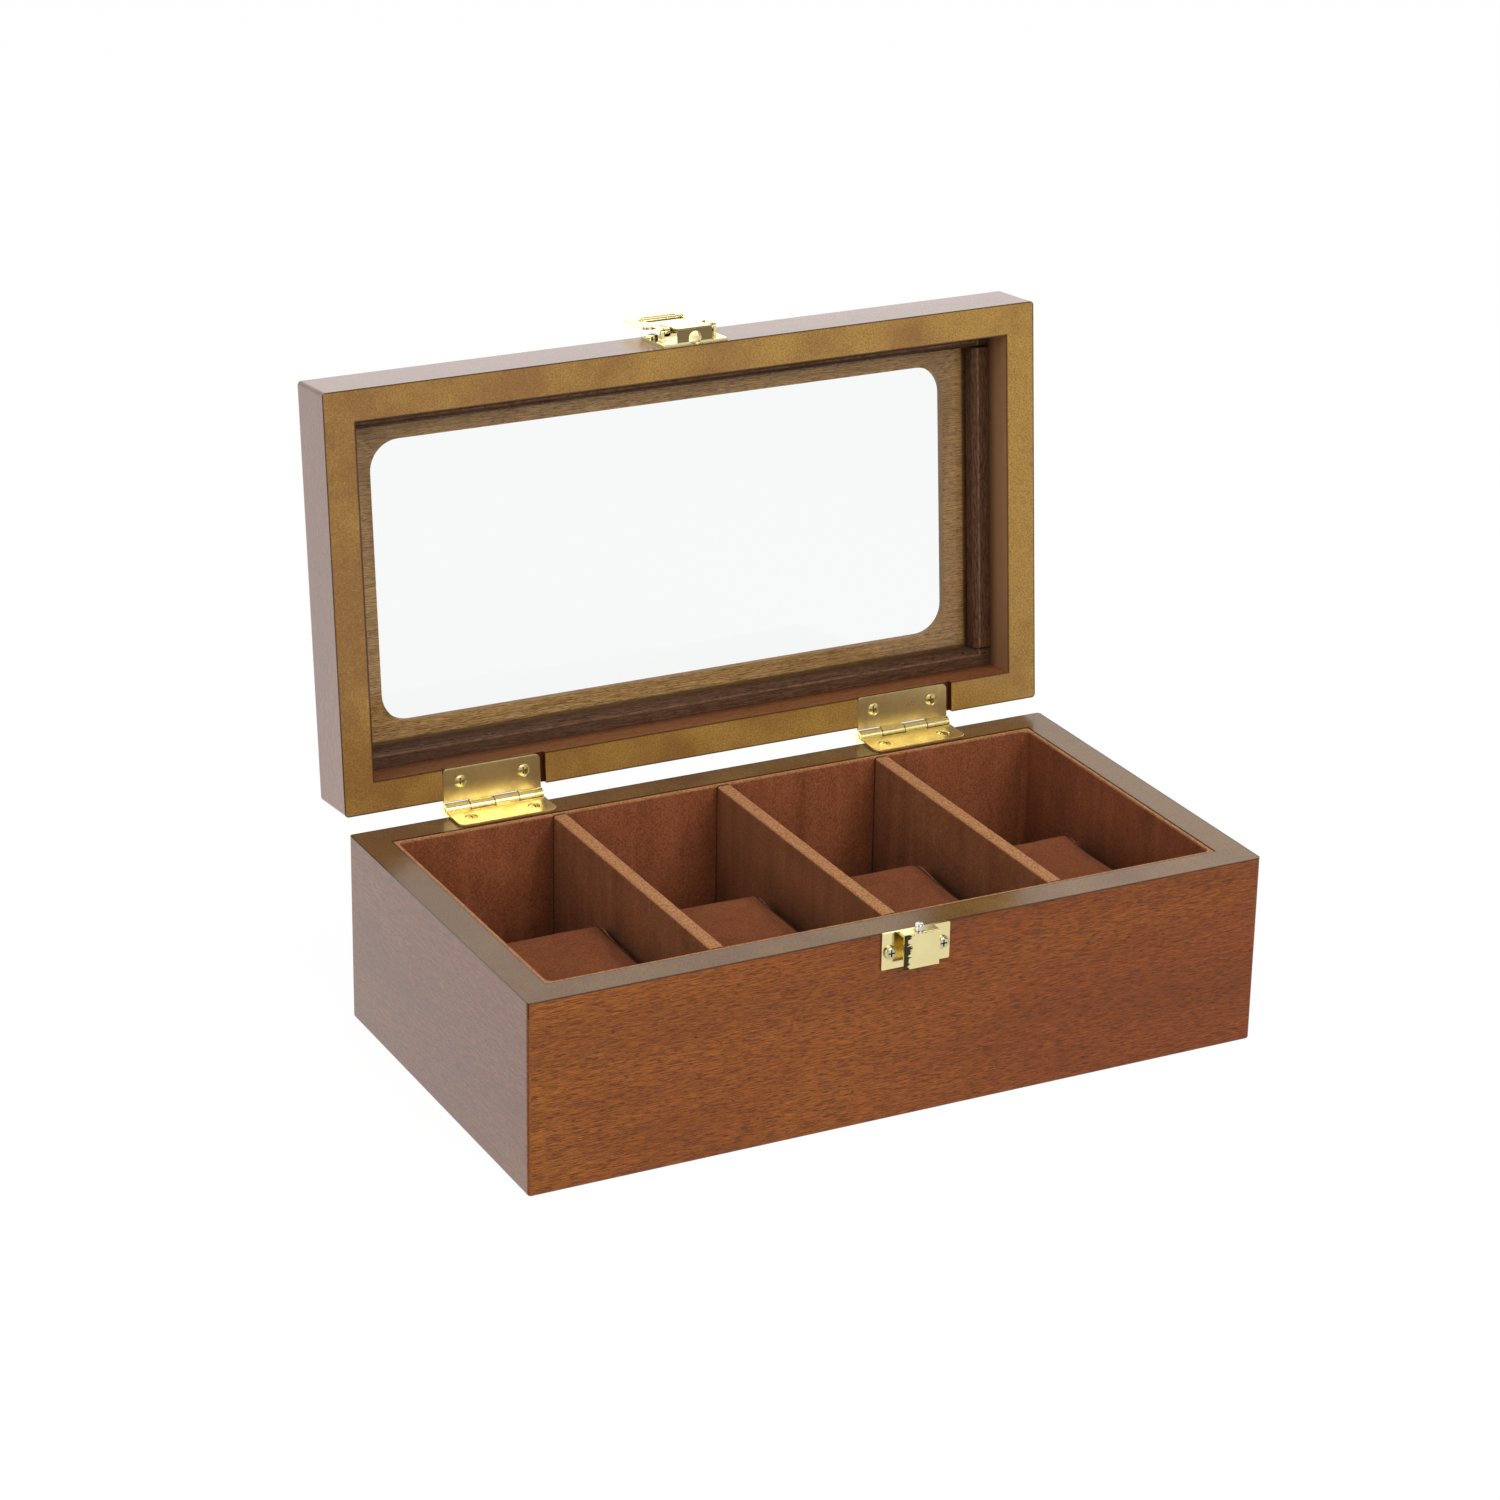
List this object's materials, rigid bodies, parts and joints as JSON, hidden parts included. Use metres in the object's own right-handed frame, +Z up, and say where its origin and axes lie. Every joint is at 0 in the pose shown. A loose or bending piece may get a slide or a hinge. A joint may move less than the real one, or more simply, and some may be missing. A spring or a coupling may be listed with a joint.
{
  "type": "watch box",
  "caption": "Wooden watch display box with a windowed glass lid on butt hinges, a flip hasp, and velvet-lined compartments with removable watch pillows.",
  "frame": {"origin": "centre of the underside of the base, where the box stands on a table", "axes": "+X to the right along the front, -Y out of the front with the latch, +Z up; at rest the lid stands open at 95 degrees behind the base"},
  "size_m": [0.28, 0.2107, 0.2325],
  "materials": {
    "lacquered_wood": "satin lacquer over stained wood-grain",
    "dark_wood": "dark stained, satin",
    "velvet": "rust-brown velvet over board",
    "pillow_velvet": "rust-brown velvet over foam",
    "brass": "polished, lacquered",
    "steel": "bright plated",
    "glass": "clear, polished"
  },
  "bodies": {
    "base": {"base_back_panel": "lacquered_wood", "base_bottom": "lacquered_wood", "base_front_panel": "lacquered_wood", "base_left_panel": "lacquered_wood", "base_right_panel": "lacquered_wood", "catch_plate": "brass", "catch_screws": "steel", "catch_stud": "steel", "divider_1": "velvet", "divider_2": "velvet", "divider_3": "velvet", "hinge_left_base_leaf": "brass", "hinge_left_pin": "brass", "hinge_right_base_leaf": "brass", "hinge_right_pin": "brass", "hinge_screws_base": "brass", "lining_back": "velvet", "lining_floor": "velvet", "lining_front": "velvet", "lining_left": "velvet", "lining_right": "velvet"},
    "lid": {"bead_back": "dark_wood", "bead_brads": "steel", "bead_front": "dark_wood", "bead_left": "dark_wood", "bead_right": "dark_wood", "glass_pane": "glass", "hinge_left_lid_leaf": "brass", "hinge_right_lid_leaf": "brass", "hinge_screws_lid": "brass", "latch_plate": "brass", "latch_rod": "brass", "latch_screws": "steel", "lid_back_rail": "lacquered_wood", "lid_front_rail": "lacquered_wood", "lid_left_rail": "lacquered_wood", "lid_right_rail": "lacquered_wood", "lid_window_panel": "lacquered_wood"},
    "hasp": {"hasp_frame": "brass", "hasp_cross_bar": "brass"},
    "pillow_1_body": {"pillow_1": "pillow_velvet"},
    "pillow_2_body": {"pillow_2": "pillow_velvet"},
    "pillow_3_body": {"pillow_3": "pillow_velvet"},
    "pillow_4_body": {"pillow_4": "pillow_velvet"}
  },
  "joints": [
    {"name": "lid_hinge", "type": "hinge", "parent": "base", "child": "lid", "pos_m": [0, 0.0799, 0.0711], "axis": [-1, 0, 0], "range_deg": [-95, 0]},
    {"name": "hasp_pivot", "type": "hinge", "parent": "lid", "child": "hasp", "pos_m": [0.002, 0.10043, 0.23002], "axis": [-1, 0, 0], "range_deg": [-180, 0]},
    {"name": "pillow_1_lift", "type": "slide", "parent": "base", "child": "pillow_1_body", "axis": [0, 0, 1], "range_m": [0, 0.066]},
    {"name": "pillow_2_lift", "type": "slide", "parent": "base", "child": "pillow_2_body", "axis": [0, 0, 1], "range_m": [0, 0.066]},
    {"name": "pillow_3_lift", "type": "slide", "parent": "base", "child": "pillow_3_body", "axis": [0, 0, 1], "range_m": [0, 0.066]},
    {"name": "pillow_4_lift", "type": "slide", "parent": "base", "child": "pillow_4_body", "axis": [0, 0, 1], "range_m": [0, 0.066]}
  ]
}
